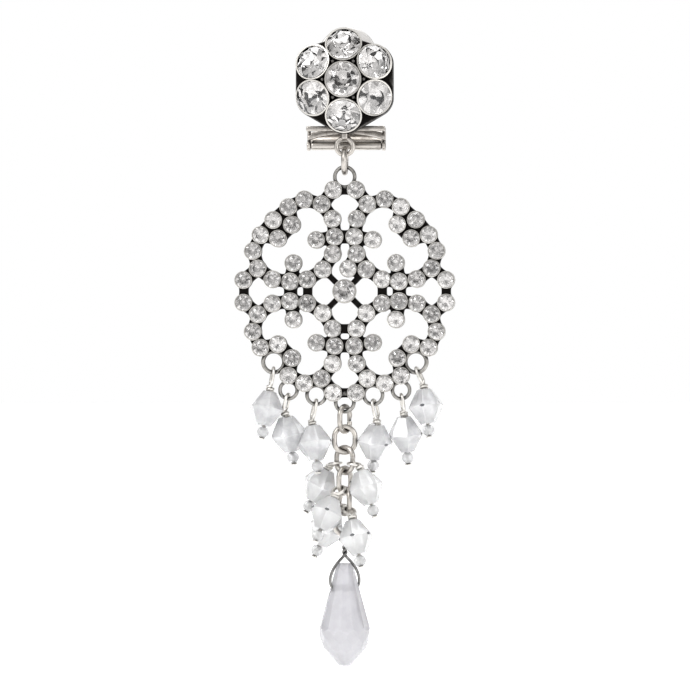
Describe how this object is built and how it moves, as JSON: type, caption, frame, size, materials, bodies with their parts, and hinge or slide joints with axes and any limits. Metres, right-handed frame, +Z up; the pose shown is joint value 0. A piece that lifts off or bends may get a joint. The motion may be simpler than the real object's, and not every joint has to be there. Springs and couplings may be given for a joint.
{
  "type": "chandelier clip earring",
  "caption": "Chandelier clip earring: a round stone cluster on a sprung ear clip carries a paved openwork medallion, a fringe of crystal drops and a chain tassel with a teardrop.",
  "frame": {"origin": "where the clip grips the ear lobe: on the back face of the clip's base plate, opposite the middle of the lever's pad", "axes": "+Z up as worn, -Y out of the front of the stones, +Y towards the lever's pad behind the lobe"},
  "size_m": [0.0278, 0.0109, 0.081],
  "materials": {
    "antique_silver": "silver plate, oxidised in the recesses and rubbed bright on the edges",
    "bright_silver": "polished silver plate",
    "foiled_crystal": "faceted clear glass backed with silver foil",
    "clear_crystal": "faceted glass, clear to faintly milky"
  },
  "bodies": {
    "head": {"cluster_setting": "antique_silver", "cluster_stone_middle": "foiled_crystal", "cluster_stone_1": "foiled_crystal", "cluster_stone_2": "foiled_crystal", "cluster_stone_3": "foiled_crystal", "cluster_stone_4": "foiled_crystal", "cluster_stone_5": "foiled_crystal", "cluster_stone_6": "foiled_crystal", "clip_base": "bright_silver", "clip_spring": "bright_silver"},
    "lever": {"clip_lever": "bright_silver"},
    "hanger": {"hanger_ring": "bright_silver"},
    "drop": {"medallion": "antique_silver", "fringe_1_pin": "bright_silver", "fringe_1_bead": "clear_crystal", "fringe_1_tip": "clear_crystal", "fringe_2_pin": "bright_silver", "fringe_2_bead": "clear_crystal", "fringe_2_tip": "clear_crystal", "fringe_3_pin": "bright_silver", "fringe_3_bead": "clear_crystal", "fringe_3_tip": "clear_crystal", "fringe_4_pin": "bright_silver", "fringe_4_bead": "clear_crystal", "fringe_4_tip": "clear_crystal", "fringe_5_pin": "bright_silver", "fringe_5_bead": "clear_crystal", "fringe_5_tip": "clear_crystal", "fringe_6_pin": "bright_silver", "fringe_6_bead": "clear_crystal", "fringe_6_tip": "clear_crystal", "tassel_1_pin": "bright_silver", "tassel_1_bead": "clear_crystal", "tassel_1_tip": "clear_crystal", "tassel_2_pin": "bright_silver", "tassel_2_bead": "clear_crystal", "tassel_2_tip": "clear_crystal", "tassel_3_pin": "bright_silver", "tassel_3_bead": "clear_crystal", "tassel_3_tip": "clear_crystal", "tassel_4_pin": "bright_silver", "tassel_4_bead": "clear_crystal", "tassel_4_tip": "clear_crystal", "tassel_5_pin": "bright_silver", "tassel_5_bead": "clear_crystal", "tassel_5_tip": "clear_crystal", "chain_link_1": "bright_silver", "chain_link_2": "bright_silver", "chain_link_3": "bright_silver", "chain_link_4": "bright_silver", "chain_link_5": "bright_silver", "chain_link_6": "bright_silver", "teardrop_bail": "bright_silver", "teardrop": "clear_crystal"}
  },
  "joints": [
    {"name": "lever_hinge", "type": "hinge", "parent": "head", "child": "lever", "pos_m": [0, 0.0009, -0.01145], "axis": [-1, 0, 0], "range_deg": [0, 75], "stiffness_Nm_per_rad": 0.002, "springref_deg": -28.65},
    {"name": "hanger_swing", "type": "hinge", "parent": "head", "child": "hanger", "pos_m": [0, -0.002, -0.01273], "axis": [1, 0, 0], "range_deg": [-45, 45]},
    {"name": "drop_sway", "type": "hinge", "parent": "hanger", "child": "drop", "pos_m": [0, -0.002, -0.015], "axis": [0, 1, 0], "range_deg": [-40, 40]}
  ]
}
